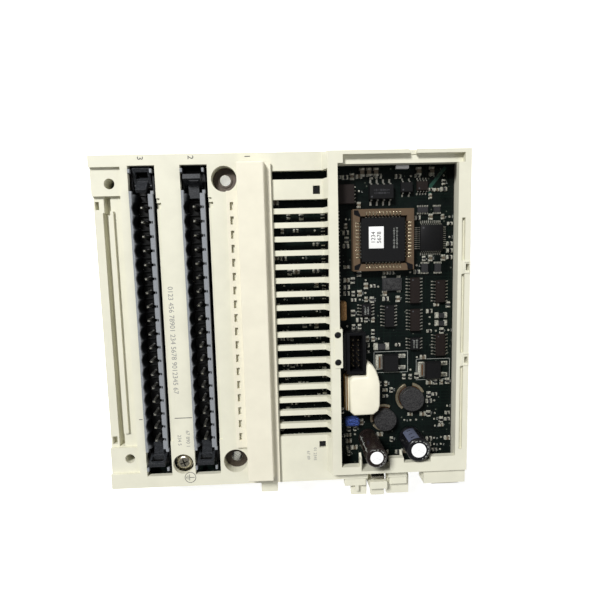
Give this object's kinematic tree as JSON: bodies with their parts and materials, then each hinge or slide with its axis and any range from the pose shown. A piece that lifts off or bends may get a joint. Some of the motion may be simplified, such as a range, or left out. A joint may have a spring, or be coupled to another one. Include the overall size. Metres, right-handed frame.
{
  "type": "programmable controller input and output base",
  "caption": "DIN rail input and output base: cream casing, pluggable terminal rows with ejector levers, slatted legend field and an open adapter seat over the circuit board.",
  "frame": {"origin": "centre of the bounding box at the plane of the casing's back", "axes": "+Z out of the front, +X along the long side towards the adapter seat, +Y along the terminal rows, away from the adapter lock"},
  "size_m": [0.1366, 0.1328, 0.0479],
  "materials": {
    "cream_plastic": "fine spark-eroded texture",
    "cover_plastic": "smooth satin",
    "header_plastic": "moulded, satin",
    "lever_plastic": "moulded, satin",
    "solder_mask": "solder mask",
    "black_plastic": "moulded epoxy",
    "socket_plastic": "glass-filled, moulded",
    "nickel": "nickel plated",
    "spring_steel": "drawn wire",
    "label_paper": "matt label",
    "ferrite": "pressed and fired",
    "winding_tape": "amber film over copper",
    "insulating_tape": "polyester tape",
    "can_aluminium": "bright can",
    "ceramic_body": "fired ceramic",
    "capacitor_coating": "dipped",
    "suppressor_coating": "dipped",
    "light_pipe": "clear, frosted end"
  },
  "bodies": {
    "base": {"front_cover": "cream_plastic", "rear_housing": "cream_plastic", "terminal_header_row1": "header_plastic", "terminal_header_row2": "header_plastic", "terminal_header_row3": "header_plastic", "circuit_board": "solder_mask", "ground_plate": "nickel", "adapter_ground_contact": "nickel", "din_latch_spring": "spring_steel", "plcc_socket": "socket_plastic", "corner_chip": "socket_plastic", "controller_chip": "black_plastic", "interface_chip": "black_plastic", "adapter_connector": "black_plastic", "opto_wide": "black_plastic", "opto_small": "black_plastic", "timer_chip": "black_plastic", "regulator_a": "black_plastic", "regulator_b": "black_plastic", "chip_label": "label_paper", "transformer_core": "winding_tape", "transformer_wrap": "insulating_tape", "capacitor_tall": "can_aluminium", "capacitor_wide": "can_aluminium", "inductor_a": "ferrite", "inductor_b": "ferrite", "oscillator": "ceramic_body", "shunt_resistor": "ceramic_body", "resistor_a": "ceramic_body", "resistor_b": "ceramic_body", "film_capacitor": "capacitor_coating", "surge_suppressor": "suppressor_coating", "status_light_upper": "light_pipe", "status_light_lower": "light_pipe", "logic_chip_1": "black_plastic", "logic_chip_2": "black_plastic", "logic_chip_3": "black_plastic", "logic_chip_4": "black_plastic", "logic_chip_5": "black_plastic", "logic_chip_6": "black_plastic", "logic_chip_7": "black_plastic", "light_driver_1": "black_plastic", "light_driver_2": "black_plastic", "light_driver_3": "black_plastic", "resistor_network_1": "ceramic_body", "resistor_network_2": "ceramic_body", "resistor_network_3": "ceramic_body", "resistor_network_4": "ceramic_body"},
    "lever_row2_top": {"lever_row2_top": "lever_plastic"},
    "lever_row2_bottom": {"lever_row2_bottom": "lever_plastic"},
    "lever_row3_top": {"lever_row3_top": "lever_plastic"},
    "lever_row3_bottom": {"lever_row3_bottom": "lever_plastic"},
    "row1_cover": {"row1_cover": "cover_plastic"},
    "ground_washer": {"ground_washer": "nickel"},
    "ground_screw": {"ground_screw": "nickel"},
    "din_latch": {"din_latch": "lever_plastic"},
    "adapter_lock": {"adapter_lock": "cream_plastic"}
  },
  "joints": [
    {"name": "lever_row2_top_turn", "type": "hinge", "parent": "base", "child": "lever_row2_top", "pos_m": [-0.03165, 0.05595, 0.0319], "axis": [1, 0, 0], "range_deg": [-45, 0]},
    {"name": "lever_row2_bottom_turn", "type": "hinge", "parent": "base", "child": "lever_row2_bottom", "pos_m": [-0.03165, -0.04605, 0.0319], "axis": [1, 0, 0], "range_deg": [0, 45]},
    {"name": "lever_row3_top_turn", "type": "hinge", "parent": "base", "child": "lever_row3_top", "pos_m": [-0.05005, 0.05595, 0.0319], "axis": [1, 0, 0], "range_deg": [0, 45]},
    {"name": "lever_row3_bottom_turn", "type": "hinge", "parent": "base", "child": "lever_row3_bottom", "pos_m": [-0.05005, -0.04605, 0.0319], "axis": [1, 0, 0], "range_deg": [0, 45]},
    {"name": "row1_cover_pull", "type": "slide", "parent": "base", "child": "row1_cover", "axis": [0, 0, 1], "range_m": [0, 0.025]},
    {"name": "ground_washer_lift", "type": "slide", "parent": "base", "child": "ground_washer", "axis": [0, 0, 1], "range_m": [0, 0.0012]},
    {"name": "ground_screw_turn", "type": "hinge", "parent": "ground_washer", "child": "ground_screw", "pos_m": [-0.0406, -0.04935, 0.0327], "axis": [0, 0, 1], "range_deg": [0, 720]},
    {"name": "din_latch_pull", "type": "slide", "parent": "base", "child": "din_latch", "axis": [1, 0, 0], "range_m": [0, 0.005], "stiffness_N_per_m": 400, "springref_m": -0.002, "deforming": ["din_latch_spring"]},
    {"name": "adapter_lock_flex", "type": "hinge", "parent": "base", "child": "adapter_lock", "pos_m": [0.03475, -0.06155, 0.023], "axis": [1, 0, 0], "range_deg": [0, 8], "stiffness_Nm_per_rad": 0.15, "springref_deg": -1.72}
  ]
}
